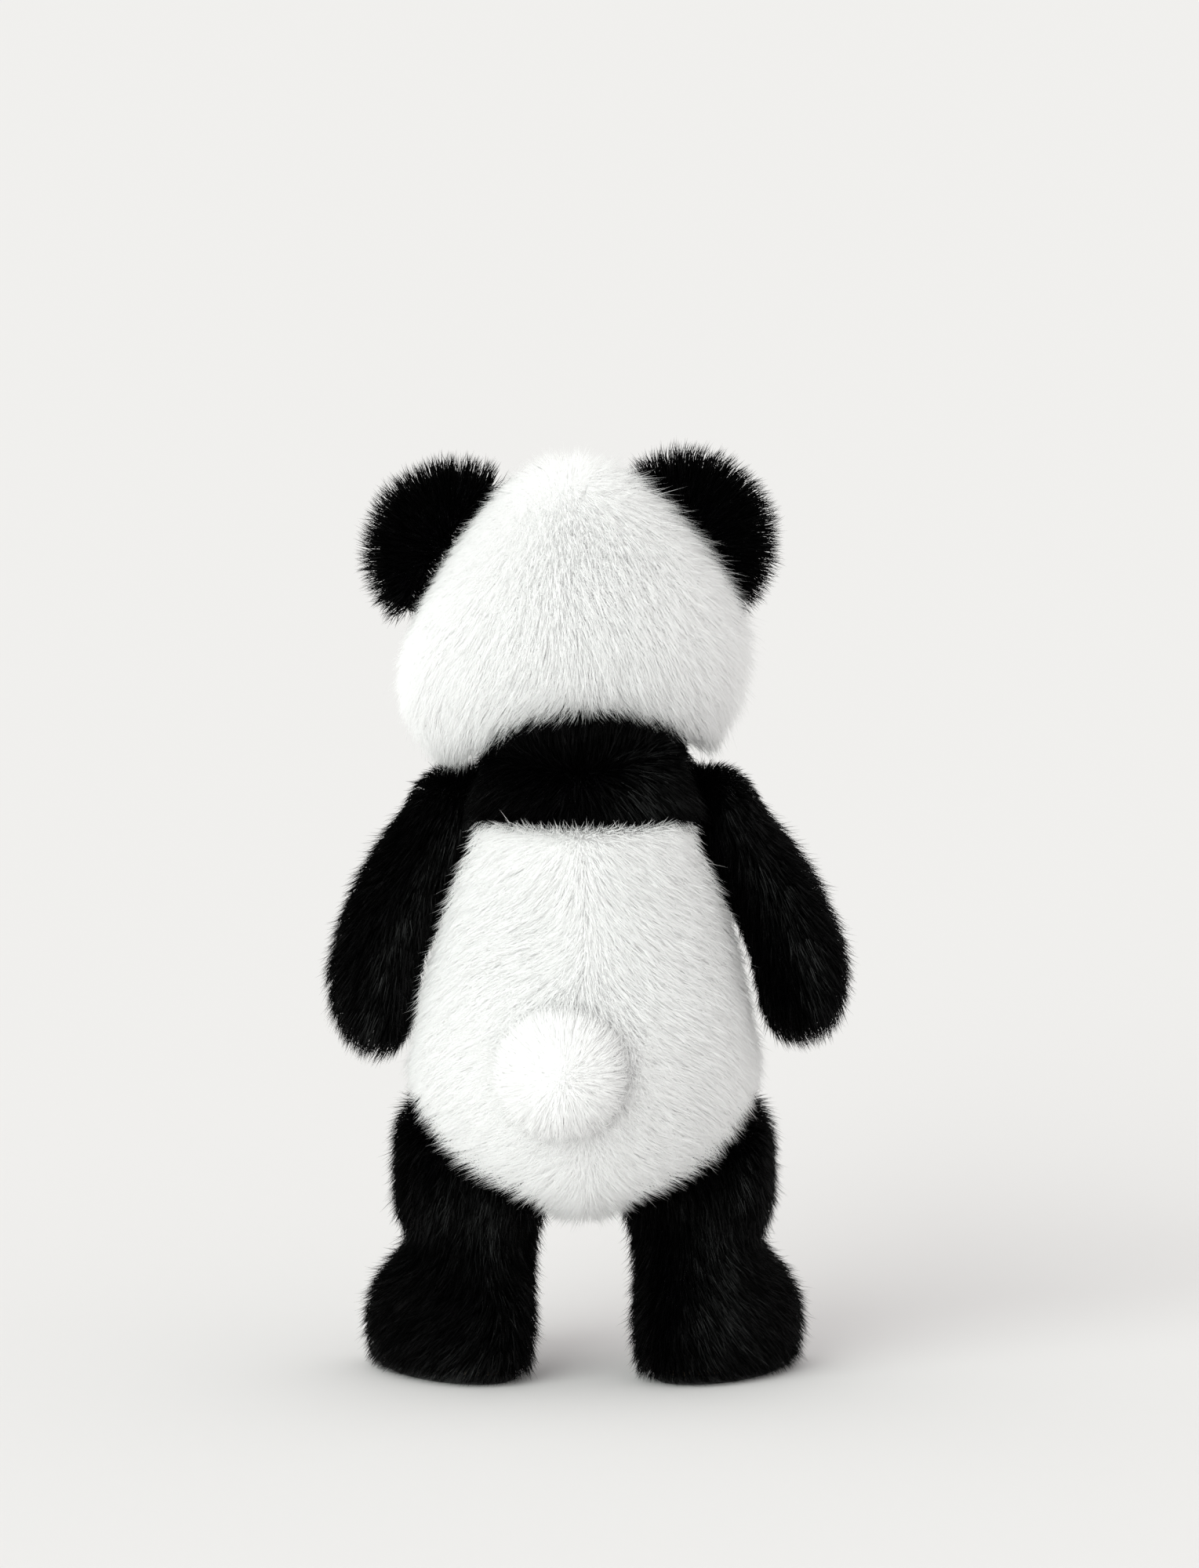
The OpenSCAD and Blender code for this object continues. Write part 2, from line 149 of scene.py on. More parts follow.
def make_floor():
    """A pale floor that runs on far past the picture."""
    sides, far = 64, 80.0
    ring = [2 * math.pi * k / sides for k in range(sides)]
    mesh = bpy.data.meshes.new("studio_floor")
    mesh.from_pydata([(far * math.cos(a), far * math.sin(a), 0) for a in ring], [], [range(sides)])
    floor = bpy.data.objects.new("studio_floor", mesh)
    bpy.context.scene.collection.objects.link(floor)
    paint = bpy.data.materials.new("studio_paper")
    paint.use_nodes = True
    shader = paint.node_tree.nodes["Principled BSDF"]
    share = [(paper - lit) / paper for lit, paper in zip(KEY_ON_FLOOR, PAPER)]
    shader.inputs["Base Color"].default_value = (*share, 1)
    shader.inputs["Roughness"].default_value = 1.0
    shader.inputs["Specular IOR Level"].default_value = 0.0
    mesh.materials.append(paint)


# ---- Materials ----


def principled(name, colour, roughness, specular=0.5, sheen=0.0):
    material = bpy.data.materials.new(name)
    material.use_nodes = True
    shader = material.node_tree.nodes["Principled BSDF"]
    shader.inputs["Base Color"].default_value = (*colour, 1)
    shader.inputs["Roughness"].default_value = roughness
    shader.inputs["Specular IOR Level"].default_value = specular
    shader.inputs["Sheen Weight"].default_value = sheen
    return material


def add_bump(material, height_from, strength, distance):
    """Connects a height output to the shader's normal through a bump node."""
    tree = material.node_tree
    bump = tree.nodes.new("ShaderNodeBump")
    bump.inputs["Strength"].default_value = strength
    bump.inputs["Distance"].default_value = distance
    tree.links.new(height_from, bump.inputs["Height"])
    tree.links.new(bump.outputs["Normal"], tree.nodes["Principled BSDF"].inputs["Normal"])


def object_coords(material):
    return material.node_tree.nodes.new("ShaderNodeTexCoord").outputs["Object"]


WAVE_BAND = 0.314  # length of one band of the wave texture at scale 1


def knit(name, colour, pitch=0.9 * MM):
    """The knitted ground of pile fabric: rows of small loops."""
    material = principled(name, colour, roughness=1.0, specular=0.0)
    tree = material.node_tree
    rows = []
    for direction in ("X", "Z"):
        wave = tree.nodes.new("ShaderNodeTexWave")
        wave.bands_direction = direction
        wave.inputs["Scale"].default_value = WAVE_BAND / pitch
        wave.inputs["Distortion"].default_value = 1.5
        tree.links.new(object_coords(material), wave.inputs["Vector"])
        rows.append(wave.outputs["Fac"])
    mix = tree.nodes.new("ShaderNodeMath")
    mix.operation = "MULTIPLY"
    tree.links.new(rows[0], mix.inputs[0])
    tree.links.new(rows[1], mix.inputs[1])
    add_bump(material, mix.outputs[0], strength=0.6, distance=0.3 * MM)
    return material


def fibrous(name, colour, scale, sheen=0.3):
    """Loose fibre or matted cloth."""
    material = principled(name, colour, roughness=0.95, specular=0.1, sheen=sheen)
    tree = material.node_tree
    noise = tree.nodes.new("ShaderNodeTexNoise")
    noise.inputs["Scale"].default_value = scale
    noise.inputs["Detail"].default_value = 8
    noise.inputs["Distortion"].default_value = 2
    tree.links.new(object_coords(material), noise.inputs["Vector"])
    add_bump(material, noise.outputs["Fac"], strength=0.8, distance=1.2 * MM)
    return material


def translucent(name, colour):
    """A pale fibre that light passes through, to about half a millimetre."""
    material = principled(name, colour, roughness=1.0, specular=0.0)
    shader = material.node_tree.nodes["Principled BSDF"]
    shader.subsurface_method = "RANDOM_WALK"
    shader.inputs["Subsurface Weight"].default_value = 1.0
    shader.inputs["Subsurface Radius"].default_value = (1.0, 1.0, 1.0)
    shader.inputs["Subsurface Scale"].default_value = 0.5 * MM
    return material


WHITE_PILE = [
    translucent("white_pile_bright", (0.975, 0.974, 0.975)),
    translucent("white_pile_soft", (0.965, 0.964, 0.965)),
    translucent("white_pile_warm", (0.955, 0.953, 0.954)),
]
BLACK_PILE = [
    principled("black_pile_deep", (0.0008, 0.0008, 0.0008), roughness=0.45, specular=0.02),
    principled("black_pile_mid", (0.0012, 0.0012, 0.0013), roughness=0.40, specular=0.05),
    principled("black_pile_sheen", (0.002, 0.002, 0.0022), roughness=0.36, specular=0.15),
]
WHITE_KNIT = knit("white_backing_knit", (0.93, 0.93, 0.93))
BLACK_KNIT = knit("black_backing_knit", (0.001, 0.001, 0.001))
FIBRE = fibrous("stuffing_fibre", (0.88, 0.88, 0.85), scale=900)
CALICO = knit("pellet_bag_weave", (0.72, 0.67, 0.56), pitch=0.6 * MM)
BOARD = fibrous("sole_board_pulp", (0.45, 0.34, 0.23), scale=1600)
SUEDE = fibrous("sole_suede", (0.012, 0.012, 0.013), scale=2200)
WASHER = principled("washer_moulded", (0.82, 0.84, 0.87), roughness=0.45)
THREAD = fibrous("mouth_thread_twist", (0.003, 0.003, 0.003), scale=3000, sheen=0.0)


# ---- Mesh tools ----


def link_mesh(name, mesh):
    piece = bpy.data.objects.new(name, mesh)
    bpy.context.scene.collection.objects.link(piece)
    return piece


def apply_modifiers(piece):
    graph = bpy.context.evaluated_depsgraph_get()
    made = bpy.data.meshes.new_from_object(piece.evaluated_get(graph))
    piece.modifiers.clear()
    old = piece.data
    piece.data = made
    bpy.data.meshes.remove(old)


def coords(mesh):
    out = np.empty(len(mesh.vertices) * 3)
    mesh.vertices.foreach_get("co", out)
    return out.reshape(-1, 3)


def vertex_normals(mesh):
    out = np.empty(len(mesh.vertices) * 3, np.float32)
    mesh.vertex_normals.foreach_get("vector", out)
    return out.reshape(-1, 3).astype(float)


def put_coords(mesh, points):
    mesh.vertices.foreach_set("co", points.ravel())
    mesh.update()


def remesh(piece, voxel):
    modifier = piece.modifiers.new("remesh", "REMESH")
    modifier.mode = "VOXEL"
    modifier.voxel_size = voxel
    apply_modifiers(piece)


def smooth(piece, times, factor=0.5):
    modifier = piece.modifiers.new("smooth", "SMOOTH")
    modifier.factor = factor
    modifier.iterations = times
    apply_modifiers(piece)


def subdivide(piece, levels=1):
    modifier = piece.modifiers.new("subdivide", "SUBSURF")
    modifier.levels = levels
    modifier.render_levels = levels
    apply_modifiers(piece)


def keep_outer_island(piece):
    """Drops the inner surfaces that a remesh of nested solids leaves."""
    bm = bmesh.new()
    bm.from_mesh(piece.data)
    seen, islands = set(), []
    for start in bm.verts:
        if start in seen:
            continue
        island, stack = [], [start]
        seen.add(start)
        while stack:
            v = stack.pop()
            island.append(v)
            for e in v.link_edges:
                other = e.other_vert(v)
                if other not in seen:
                    seen.add(other)
                    stack.append(other)
        islands.append(island)
    islands.sort(key=len)
    drop = [v for island in islands[:-1] for v in island]
    bmesh.ops.delete(bm, geom=drop, context="VERTS")
    bm.to_mesh(piece.data)
    bm.free()


def joined(name, nodes, plugs):
    """One mesh of these CAD nodes' solids, with a ball at each plug (centre, radius)."""
    bm = bmesh.new()
    for n in nodes:
        bm.from_mesh(NODES[n].data)
    for centre, radius in plugs:
        place = Matrix.Translation(centre)
        bmesh.ops.create_icosphere(bm, subdivisions=3, radius=radius, matrix=place)
    mesh = bpy.data.meshes.new(name)
    bm.to_mesh(mesh)
    bm.free()
    return link_mesh(name, mesh)


FILL_PRESSURE = 3.0
FILL_FRAMES = 14  # of cloth simulation, until the form rests


def swell(piece, cap):
    """Blows the sewn form up from inside, as its filling does, by no more than cap."""
    scene = bpy.context.scene
    before = coords(piece.data)
    cloth = piece.modifiers.new("filling", "CLOTH")
    cloth.settings.quality = 3
    cloth.settings.mass = 0.2
    cloth.settings.use_pressure = True
    cloth.settings.uniform_pressure_force = FILL_PRESSURE
    cloth.settings.effector_weights.gravity = 0
    cloth.point_cache.frame_start = 1
    cloth.point_cache.frame_end = FILL_FRAMES
    for f in range(1, FILL_FRAMES + 1):
        scene.frame_set(f)
    graph = bpy.context.evaluated_depsgraph_get()
    swollen = piece.evaluated_get(graph).to_mesh()
    move = coords(swollen) - before
    piece.evaluated_get(graph).to_mesh_clear()
    piece.modifiers.clear()
    scene.frame_set(1)
    far = np.linalg.norm(move, axis=1, keepdims=True)
    move *= np.minimum(1, cap / np.maximum(far, 1e-9))
    put_coords(piece.data, before + move)


UNION_VOXEL = 1.6 * MM  # fine enough to join the CAD panels into one skin
TORSO_VOXEL = 3.2 * MM
HEAD_VOXEL = LIMB_VOXEL = 2.6 * MM
EAR_VOXEL = 1.8 * MM


def stuffed_form(name, nodes, depth, voxel, cap=1.0 * MM, cup=None, plugs=()):
    """The closed soft form of a stuffed part, at its woven backing. A side hollowed round the
    point cup stays where it is, as its pile is short. Plugs close the holes made for stems."""
    form = joined(name, nodes, plugs)
    remesh(form, UNION_VOXEL)
    keep_outer_island(form)
    smooth(form, 12 if cup is None else 6)
    points, normals = coords(form.data), vertex_normals(form.data)
    if cup is not None:
        hollow = (unit(np.array(cup) - points) * normals).sum(1, keepdims=True)
        depth = depth * falls(hollow, 0.75, 0.5)
    put_coords(form.data, points - normals * depth)
    remesh(form, voxel)
    keep_outer_island(form)
    smooth(form, 4)
    swell(form, cap)
    subdivide(form)
    smooth(form, 2)
    return form


def cut_off(bm, point, normal):
    """Removes what lies behind a plane."""
    bmesh.ops.bisect_plane(
        bm, geom=bm.verts[:] + bm.edges[:] + bm.faces[:], dist=1e-6,
        plane_co=point, plane_no=normal, clear_inner=True,
    )


def add_filling(node, form, planes, body, material):
    """What fills a part, just inside its backing: stands for the CAD node of that filling."""
    bm = bmesh.new()
    bm.from_mesh(form.data)
    bm.normal_update()
    for v in bm.verts:
        v.co -= v.normal * (BACKING_THICK + FILL_GAP)
    for point, normal in planes:
        cut_off(bm, point, normal)
        rim = [e for e in bm.edges if e.is_boundary]
        bmesh.ops.holes_fill(bm, edges=rim, sides=0)
    mesh = bpy.data.meshes.new(node + "_fill")
    bm.to_mesh(mesh)
    bm.free()
    mesh.materials.append(material)
    fill = link_mesh(node + "_fill", mesh)
    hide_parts(node)
    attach(fill, body)


def moved_plane(matrix, point, normal):
    return matrix @ Vector(point), (matrix.to_3x3() @ Vector(normal)).normalized()


def cut_out(name, form, planes):
    """What is left of a form on the positive side of every plane."""
    bm = bmesh.new()
    bm.from_mesh(form.data)
    for point, normal in planes:
        cut_off(bm, point, normal)
    mesh = bpy.data.meshes.new(name)
    bm.to_mesh(mesh)
    bm.free()
    mesh.polygons.foreach_set("use_smooth", [True] * len(mesh.polygons))
    return link_mesh(name, mesh)


def thicken(piece, thickness):
    modifier = piece.modifiers.new("cloth_thickness", "SOLIDIFY")
    modifier.thickness = thickness
    modifier.offset = -1
    modifier.use_rim = True
    apply_modifiers(piece)


# ---- Pile ----

MOST_STRANDS = 19000  # in one piece
TUFT_SIZE = 7  # strands to a tuft, on average
LEAST_FREE = 0.22  # no strand grows where less than this share of its length is free above it
LEAST_SHARE = 0.08  # or where the pile is shortened to less than this

# How far the strands wander from the combed way, which is a vector of length 1 or less
DRIFT_OVER_CLOTH = 0.2
DRIFT_BY_STRAND = 0.15
LEAST_COMBED = 0.2  # the combed way counts for at least this much

# How unlike the strands are in lean, in radians, and in length, as a share
LEAN_BY_TUFT, LEAN_BY_STRAND = 0.03, 0.08
LENGTH_BY_TUFT, LENGTH_BY_STRAND = 0.04, 0.1
STRAY_RISE = (0.15, 0.6)  # how much more upright than the rest a stray strand stands, in radians
STRAY_PULL = 0.1  # how much of its tuft's pull a stray strand feels

PRESSED_LEAN = 0.45  # how much further a strand leans where it has no room, in radians
PRESSED_SHARE = 0.45  # of its length that is left to it there
ROOT_RISE, TIP_DROP = 0.42, 0.3  # how much the halves of a strand differ from its lean, in radians
LEAN_LIMITS, ROOT_LIMITS, TIP_LIMITS = (0.05, 1.4), (0, 1.3), (0.1, 1.5)
PULL_SPREAD = (0.5, 1.2)
WIDTH_SPREAD = (0.75, 1.2)
MID_PULL = 0.3  # how much of the pull on its tip a strand's middle feels
MID_WIDTH = 0.85  # of the width at the root
OFF_FLOOR = (0.3 * MM, 1.2 * MM)  # how low a strand may hang
TONES = (0.55, 0.3, 0.15)  # how often a tuft is deep, middle or light in tone
OWN_TONE = 0.5  # share of the strands that don't follow their tuft's tone

BVH = {}


def bvh_of(nodes):
    key = tuple(nodes)
    if key not in BVH:
        points, faces = [], []
        for n in nodes:
            start = len(points)
            mesh = NODES[n].data
            points += [v.co.copy() for v in mesh.vertices]
            faces += [[start + i for i in p.vertices] for p in mesh.polygons]
        BVH[key] = BVHTree.FromPolygons(points, faces)
    return BVH[key]


def sample_surface(mesh, density, rng):
    """Roots spread evenly by area, with the smooth normal there."""
    mesh.calc_loop_triangles()
    tris = np.empty(len(mesh.loop_triangles) * 3, np.int32)
    mesh.loop_triangles.foreach_get("vertices", tris)
    tris = tris.reshape(-1, 3)
    points, normals = coords(mesh), vertex_normals(mesh)
    a, b, c = points[tris[:, 0]], points[tris[:, 1]], points[tris[:, 2]]
    area = np.linalg.norm(np.cross(b - a, c - a), axis=1) / 2
    total = area.sum()
    count = int(total / MM**2 * density)
    order = rng.permutation(len(tris))
    steps = np.cumsum(area[order])
    pick = order[np.minimum(
        np.searchsorted(steps, (np.arange(count) + rng.random(count)) / count * total),
        len(tris) - 1,
    )]
    u, v = rng.random(count), rng.random(count)
    flip = u + v > 1
    u[flip], v[flip] = 1 - u[flip], 1 - v[flip]
    w = 1 - u - v
    weights = np.stack([w, u, v], 1)[:, :, None]
    p = (points[tris[pick]] * weights).sum(1)
    n = (normals[tris[pick]] * weights).sum(1)
    return p, unit(n)


def unit(v):
    return v / np.maximum(np.linalg.norm(v, axis=1, keepdims=True), 1e-12)


def rises(values, start, over):
    """0 up to start, and 1 from start + over on."""
    return np.clip((values - start) / over, 0, 1)


def reaches(values, end, over):
    """0 up to end - over, and 1 from end on."""
    return np.clip((values - end) / over + 1, 0, 1)


def falls(values, end, over):
    """1 up to end - over, and 0 from end on."""
    return np.clip((end - values) / over, 0, 1)


def fades(values, start, over):
    """1 up to start, and 0 from start + over on."""
    return np.clip(1 - (values - start) / over, 0, 1)


def bell(values, half):
    """1 at 0, and little past half on either side."""
    return np.exp(-((values / half) ** 2))


def tangent(directions, normals):
    along = directions - (directions * normals).sum(1, keepdims=True) * normals
    return unit(along)


def nearest_tuft(roots, chosen):
    tree = kdtree.KDTree(len(chosen))
    for i, k in enumerate(chosen):
        tree.insert(roots[k], i)
    tree.balance()
    return np.array([tree.find(r)[1] for r in roots])


def clearance(roots, normals, blockers, reach):
    """How far each root's normal runs before it meets something that covers it."""
    free = np.full(len(roots), reach)
    if not blockers:
        return free
    tree = bvh_of(blockers)
    for i in range(len(roots)):
        hit = tree.ray_cast(Vector(roots[i]), Vector(normals[i]), reach)
        if hit[3] is not None:
            free[i] = hit[3]
    return free


# A strand has a ring of three points at the root, another in the middle, and its tip
STRAND_POINTS = 7
STRAND_FACES = [
    (2, 1, 0), (0, 1, 4, 3), (1, 2, 5, 4), (2, 0, 3, 5), (3, 4, 6), (4, 5, 6), (5, 3, 6),
]


def needles(name, roots, mids, tips, widths, normals, tone, materials):
    """Closed three-sided strands from root through mid to a point, as one mesh."""
    n = len(roots)
    first, second = unit(mids - roots), unit(tips - mids)
    side = unit(np.cross(first, normals) + 1e-9)
    points = np.empty((n, STRAND_POINTS, 3))
    for ring, (centre, axis, scale) in enumerate(
        ((roots, first, 1.0), (mids, unit(first + second), MID_WIDTH))
    ):
        up = unit(np.cross(axis, side))
        for k in range(3):
            a = 2 * math.pi * k / 3
            out = side * math.cos(a) + up * math.sin(a)
            points[:, ring * 3 + k] = centre + out * (widths * scale / 2)[:, None]
    points[:, -1] = tips
    pattern = np.array([i for face in STRAND_FACES for i in face])
    sizes = np.array([len(face) for face in STRAND_FACES])
    starts = np.concatenate([[0], np.cumsum(sizes)[:-1]])
    loops = (np.arange(n)[:, None] * STRAND_POINTS + pattern).ravel().astype(np.int32)
    offsets = (np.arange(n)[:, None] * len(pattern) + starts).ravel().astype(np.int32)
    mesh = bpy.data.meshes.new(name)
    mesh.vertices.add(n * STRAND_POINTS)
    mesh.vertices.foreach_set("co", points.astype(np.float32).ravel())
    mesh.loops.add(len(loops))
    mesh.loops.foreach_set("vertex_index", loops)
    mesh.polygons.add(len(offsets))
    mesh.polygons.foreach_set("loop_start", offsets)
    mesh.polygons.foreach_set("material_index", np.repeat(tone, len(sizes)).astype(np.int32))
    mesh.polygons.foreach_set("use_smooth", np.zeros(len(offsets), bool))
    mesh.update(calc_edges=True)
    for m in materials:
        mesh.materials.append(m)
    return link_mesh(name, mesh)


class Pile:
    """How the pile of one kind of part grows."""

    def __init__(
        self, comb, length, lean, colour, density=2.7, width=0.27 * MM, tuft=0.06, spread=0.05,
        strays=0.12, room=1.6,
    ):
        self.comb, self.length, self.lean, self.colour = comb, length, lean, colour
        self.density, self.width, self.tuft, self.spread = density, width, tuft, spread
        self.strays = strays
        self.room = room  # how many lengths of free space it takes to stand at full length


DRIFT_SIZES = (5, 7, 9, 12) * 3  # the length of each wave over two pi, in mm
WAVES = [
    (unit(v[None, :3])[0] / (size * MM), v[3:6], v[6])
    for v, size in zip(np.random.default_rng(7).normal(0, 1, (12, 7)), DRIFT_SIZES)
]


def drift(points):
    """How the combed direction wanders smoothly over the cloth."""
    out = np.zeros((len(points), 3))
    for across, way, phase in WAVES:
        out += np.sin(points @ across + phase)[:, None] * way
    return out / len(WAVES) ** 0.5


def take_root(surface, pile, blockers, rng, shorten):
    """Where the strands stand: their roots and normals, how much of the room they need is free,
    and what share of the full length they have."""
    roots, normals = sample_surface(surface.data, pile.density, rng)
    reach = pile.room * pile.length
    free = clearance(roots, normals, blockers, reach)
    share = np.ones(len(roots)) if shorten is None else shorten(roots)
    keep = (free > LEAST_FREE * pile.length) & (share > LEAST_SHARE)
    room = np.clip(free / reach, 0, 1)
    return roots[keep], normals[keep], room[keep], share[keep]


def comb_strands(pile, roots, normals, leads, tuft, rng):
    """Which way each strand lies along the cloth, and how firmly it is combed that way."""
    wander = DRIFT_OVER_CLOTH * drift(roots) + rng.normal(0, pile.spread, (len(leads), 3))[tuft]
    wander += rng.normal(0, DRIFT_BY_STRAND, (len(roots), 3))
    flow = pile.comb(roots, normals)
    flow -= (flow * normals).sum(1, keepdims=True) * normals
    combed = np.clip(np.linalg.norm(flow, axis=1), LEAST_COMBED, 1)
    return tangent(unit(flow) * combed[:, None] + wander, normals), combed


def half_strand(start, length, lean, normals, way):
    """Where half a strand ends that leans from the normal by this angle."""
    return start + (length * 0.5)[:, None] * (
        np.cos(lean)[:, None] * normals + np.sin(lean)[:, None] * way
    )


def above_floor(points, lowest):
    points[:, 2] = np.maximum(points[:, 2], lowest)


def paint_tones(leads, tuft, rng):
    """A tone for each strand, mostly that of its tuft."""
    n = len(tuft)
    tone = rng.choice(3, len(leads), p=TONES)[tuft]
    return np.where(rng.random(n) < OWN_TONE, rng.choice(3, n), tone)


def grow(name, surface, pile, blockers, rng, shorten=None):
    """The pile of one panel. shorten, if given, is the share of the full length at each place."""
    roots, normals, room, share = take_root(surface, pile, blockers, rng, shorten)
    n = len(roots)
    leads = rng.choice(n, max(n // TUFT_SIZE, 1), replace=False)
    tuft = nearest_tuft(roots, leads)
    way, combed = comb_strands(pile, roots, normals, leads, tuft, rng)

    def unlike(by_tuft, by_strand, mean):
        return mean + rng.normal(0, by_tuft, len(leads))[tuft] + rng.normal(0, by_strand, n)

    lean = unlike(LEAN_BY_TUFT, LEAN_BY_STRAND, pile.lean * combed)
    long = pile.length * unlike(LENGTH_BY_TUFT, LENGTH_BY_STRAND, 1)
    stray = rng.random(n) < pile.strays
    lean = np.where(stray, lean - rng.uniform(*STRAY_RISE, n), lean) + PRESSED_LEAN * (1 - room)
    lean = np.clip(lean, *LEAN_LIMITS)
    long = long * share * (PRESSED_SHARE + (1 - PRESSED_SHARE) * room)
    mids = half_strand(roots, long, np.clip(lean - ROOT_RISE, *ROOT_LIMITS), normals, way)
    tips = half_strand(mids, long, np.clip(lean + TIP_DROP, *TIP_LIMITS), normals, way)

    # The tips of a tuft draw together
    pull = np.where(stray, STRAY_PULL, 1.0) * pile.tuft * rng.uniform(*PULL_SPREAD, n)
    lead = leads[tuft]
    tips = tips + (tips[lead] - tips) * pull[:, None]
    mids = mids + (mids[lead] - mids) * (pull * MID_PULL)[:, None]
    lowest = rng.uniform(*OFF_FLOOR, n)
    above_floor(mids, lowest)
    above_floor(tips, lowest)
    widths = pile.width * rng.uniform(*WIDTH_SPREAD, n)
    grown = (roots, mids, tips, widths, normals, paint_tones(leads, tuft, rng))
    parts = -(-n // MOST_STRANDS)
    return [
        needles(name + (f"_{k + 1}" if k else ""), *(a[k::parts] for a in grown), pile.colour)
        for k in range(parts)
    ]


# ---- Which way the pile is combed ----


def local(points, matrix):
    return points @ np.array(matrix.to_3x3()).T + np.array(matrix.translation)


def turned(vectors, matrix):
    return vectors @ np.array(matrix.to_3x3()).T


def mirrored(place, p):
    """A place on the toy's left side, or its twin for the points on the right."""
    return np.array(place) * np.where(p[:, :1] > 0, (1, 1, 1), (-1, 1, 1))


CROWN = np.array((0, 4, 294)) * MM
CROWN_WHORL = 16 * MM  # within which the pile stands up
BRIDGE = np.array((0, -62, 228)) * MM
TAIL_WHORL = np.array((4, 72.5, 106)) * MM
TAIL_WHORL_R = 8 * MM
BY_TAIL = 25 * MM  # how far from its whorl the back's pile gives way to the tail
NAPE_Z = 203 * MM
NAPE_TOP_Z = 230 * MM
NAPE_HALF = 24 * MM
NECK_SEAM_Z = 196 * MM
TO_EAR = np.array((0.816, 0, 0.578))
EAR_EDGE = 185 * MM  # how far along that the head's pile meets an ear


def capped(vectors, full):
    """The same directions, of length 1 past the distance full and less within it."""
    far = np.linalg.norm(vectors, axis=1, keepdims=True)
    return vectors / np.maximum(far, full)


def comb_head(points, normals):
    """Down from the crown and parted in the nape, but away from the bridge of the nose in front."""
    p = local(points, HEAD_BACK)
    down = capped(p - CROWN, CROWN_WHORL)
    nape = falls(p[:, 2], NAPE_TOP_Z, 20 * MM)
    middle = bell(p[:, 0], NAPE_HALF)
    down[:, 0] += np.tanh(p[:, 0] / (8 * MM)) * nape * (0.2 + 1.2 * middle)
    down[:, 2] += nape * (1.4 * middle - 0.6)
    front = rises(-p[:, 1], 12 * MM, 22 * MM)[:, None]
    return turned(down * (1 - front) + unit(p - BRIDGE) * front, HEAD)


def comb_torso(points, normals):
    """Down and outward, but up along the yoke and in towards the tail at its edge."""
    side = np.tanh(points[:, 0] / (9 * MM))
    by_yoke = reaches(points[:, 2], YOKE_Z, 10 * MM)
    up = by_yoke * falls(np.abs(points[:, 0]), 32 * MM, 12 * MM)
    out = np.stack([side * 0.9 * (1 - by_yoke), np.zeros(len(points)), 1.1 * up - 0.75], 1)
    from_tail = points - TAIL_WHORL
    from_tail[:, 1] = 0
    away = np.linalg.norm(from_tail, axis=1)
    near = np.exp(-((away / BY_TAIL) ** 4)) * (points[:, 1] > 0)
    return out * (1 - near)[:, None] - unit(from_tail) * (0.25 * near)[:, None]


def comb_yoke(points, normals):
    """Down and outward, but brushed up over the head in the middle of the nape."""
    fade = 1.2 - 0.7 * rises(np.abs(points[:, 0]), 0, 40 * MM)
    side = np.tanh(points[:, 0] / (16 * MM)) * fade
    middle = bell(points[:, 0], 26 * MM) * (points[:, 1] > 0)
    up = middle * rises(points[:, 2], NECK_SEAM_Z, 8 * MM)
    low = falls(points[:, 2], YOKE_Z + 10 * MM, 10 * MM)
    return np.stack([side * (1 - 0.5 * up - low), np.zeros(len(points)), 2.4 * up - 0.8], 1)


def comb_tail(points, normals):
    """Upright at the whorl, and laid down onto the back at the rim."""
    return capped(points - TAIL_WHORL, TAIL_WHORL_R)


def comb_arm(points, normals):
    """Down the arm and a little outward."""
    side = np.sign(points[:, 0])
    out = np.stack([side * 0.35, np.zeros(len(points)), np.full(len(points), -1.0)], 1)
    return out + normals * 0.2


def comb_leg(points, normals):
    """Down the leg and a little outward, and forward over the foot."""
    side = np.sign(points[:, 0])
    foot = fades(points[:, 2], 0, 40 * MM)
    return np.stack([side * 0.25 * (1 + foot), -0.5 * foot, np.full(len(points), -1.0)], 1)


def comb_ear(points, normals):
    """Away from where the ear is sewn on."""
    p = local(points, HEAD_BACK)
    base = mirrored(EAR_BASE, p)
    base[:, 1] = p[:, 1]
    return turned(unit(p - base), HEAD)


def comb_patch(points, normals):
    """Away from the eye and down."""
    p = local(points, HEAD_BACK)
    return turned(unit(p - mirrored(EYE_AT, p)) + np.array((0, 0, -0.5)), HEAD)


def comb_muzzle(points, normals):
    """Away from the bridge of the nose."""
    p = local(points, HEAD_BACK)
    return turned(unit(p - BRIDGE), HEAD)


# ---- The parts ----

RNG = np.random.default_rng(20)

OUTSIDE = {
    "torso": [n for n in BODIES["torso"] if n.startswith(("yoke", "back_", "belly_"))],
    "head": [n for n in BODIES["head"] if n.startswith(("head_back", "head_side", "head_c"))],
}
for limb in ("arm_left", "arm_right", "leg_left", "leg_right"):
    OUTSIDE[limb] = [limb + "_outer", limb + "_inner"]
EARS = [n for n in BODIES["head"] if n.startswith("ear_")]
PATCHES = ["eye_patch_left", "eye_patch_right"]
OTHERS = {
    body: [n for other, nodes in OUTSIDE.items() if other != body for n in nodes]
    for body in OUTSIDE
}

